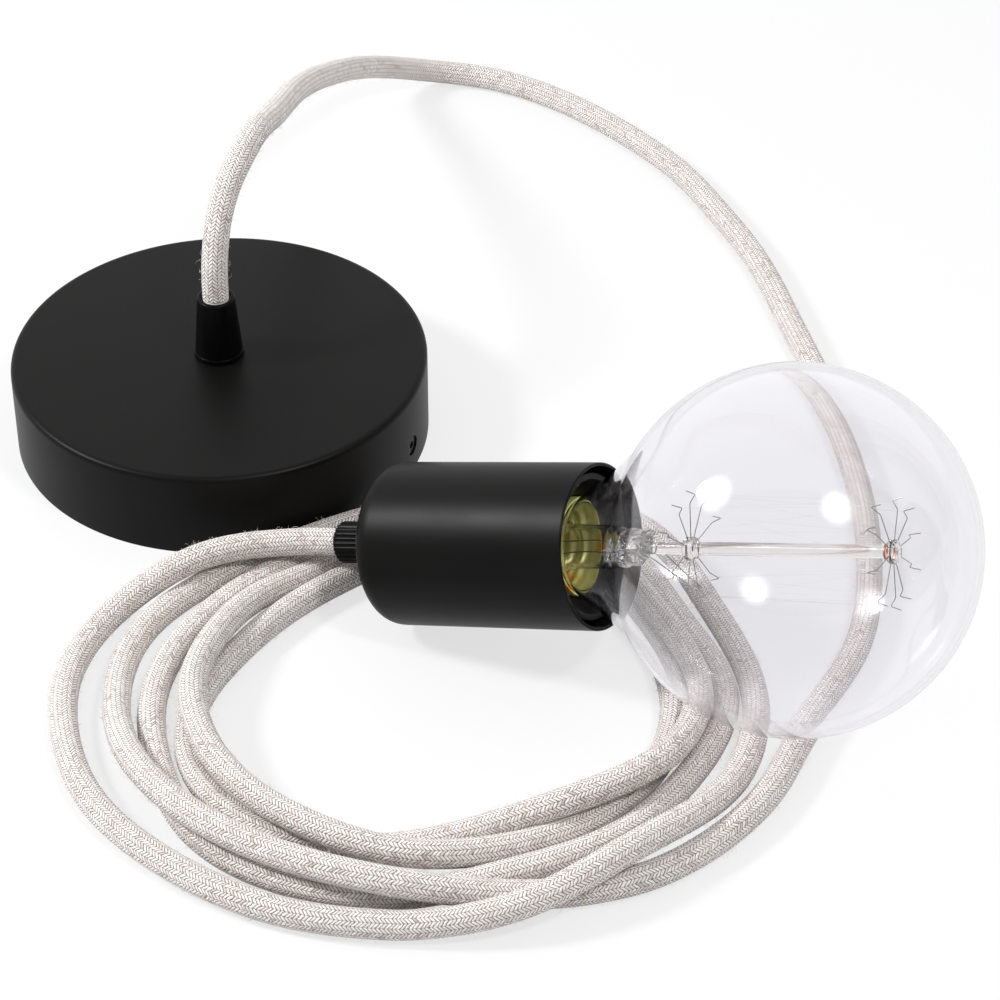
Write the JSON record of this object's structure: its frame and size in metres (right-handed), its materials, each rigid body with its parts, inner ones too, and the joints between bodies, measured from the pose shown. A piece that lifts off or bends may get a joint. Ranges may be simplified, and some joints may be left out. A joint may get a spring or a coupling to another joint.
{
  "type": "pendant cord set",
  "caption": "Pendant cord set: round ceiling canopy with cone cord grip, long braided cord in a loose coil, cup lamp holder and clear globe bulb.",
  "frame": {"origin": "centre of the ceiling plate's flat back, in the plane of the canopy's open rim, which is also the surface the set lies on", "axes": "+Z away from the ceiling face through the canopy's top and cord grip; +X towards the bulb's side; +Y towards the wide loop of the cord"},
  "size_m": [0.2624, 0.4038, 0.104],
  "materials": {
    "satin_black_steel": "satin black powder coat",
    "black_plastic": "smooth moulded black plastic",
    "zinc_steel": "zinc plated steel",
    "brass": "plain turned and pressed brass",
    "cap_metal": "rolled cap, olive gold seen through the glass",
    "porcelain": "glazed white ceramic",
    "natural_nylon": "milky moulded plastic",
    "dark_glass": "black insulating glass",
    "clear_glass": "clear blown glass",
    "nickel_wire": "thin drawn wire",
    "linen_braid": "natural linen braid with grey-brown flecks",
    "cable_sheath": "white cable sheath",
    "brown_core": "brown core insulation",
    "blue_core": "blue core insulation",
    "earth_core": "green and yellow core insulation"
  },
  "bodies": {
    "root": {"canopy_cup": "satin_black_steel", "grip_cone": "black_plastic", "grip_screw": "black_plastic", "grip_nut": "zinc_steel", "canopy_cable": "cable_sheath", "ceiling_plate": "zinc_steel", "plate_screw_right": "black_plastic", "plate_screw_left": "black_plastic", "terminal_block": "natural_nylon", "terminal_sleeve_1": "brass", "terminal_sleeve_2": "brass", "terminal_sleeve_3": "brass", "terminal_screw_1": "zinc_steel", "terminal_screw_2": "zinc_steel", "terminal_screw_3": "zinc_steel", "canopy_core_brown": "brown_core", "canopy_core_earth": "earth_core", "canopy_core_blue": "blue_core", "holder_cup": "satin_black_steel", "holder_gland": "black_plastic", "socket_dome": "satin_black_steel", "earth_screw": "brass", "socket_insert": "porcelain", "insert_screw_centre": "brass", "insert_screw_side": "brass", "contact_centre": "brass", "contact_side": "brass", "socket_shell": "black_plastic", "holder_cable": "cable_sheath", "holder_core_brown": "brown_core", "holder_core_blue": "blue_core", "holder_core_earth": "earth_core", "bulb_glass": "clear_glass", "bulb_cap": "cap_metal", "cap_insulator": "dark_glass", "cap_contact": "zinc_steel", "glass_stem": "clear_glass", "lead_wire_front": "nickel_wire", "lead_wire_back": "nickel_wire", "spider_near": "nickel_wire", "spider_far": "nickel_wire", "filament": "nickel_wire", "cord_arc": "linen_braid", "cord_coil": "linen_braid", "cord_tail": "linen_braid"}
  },
  "joints": []
}
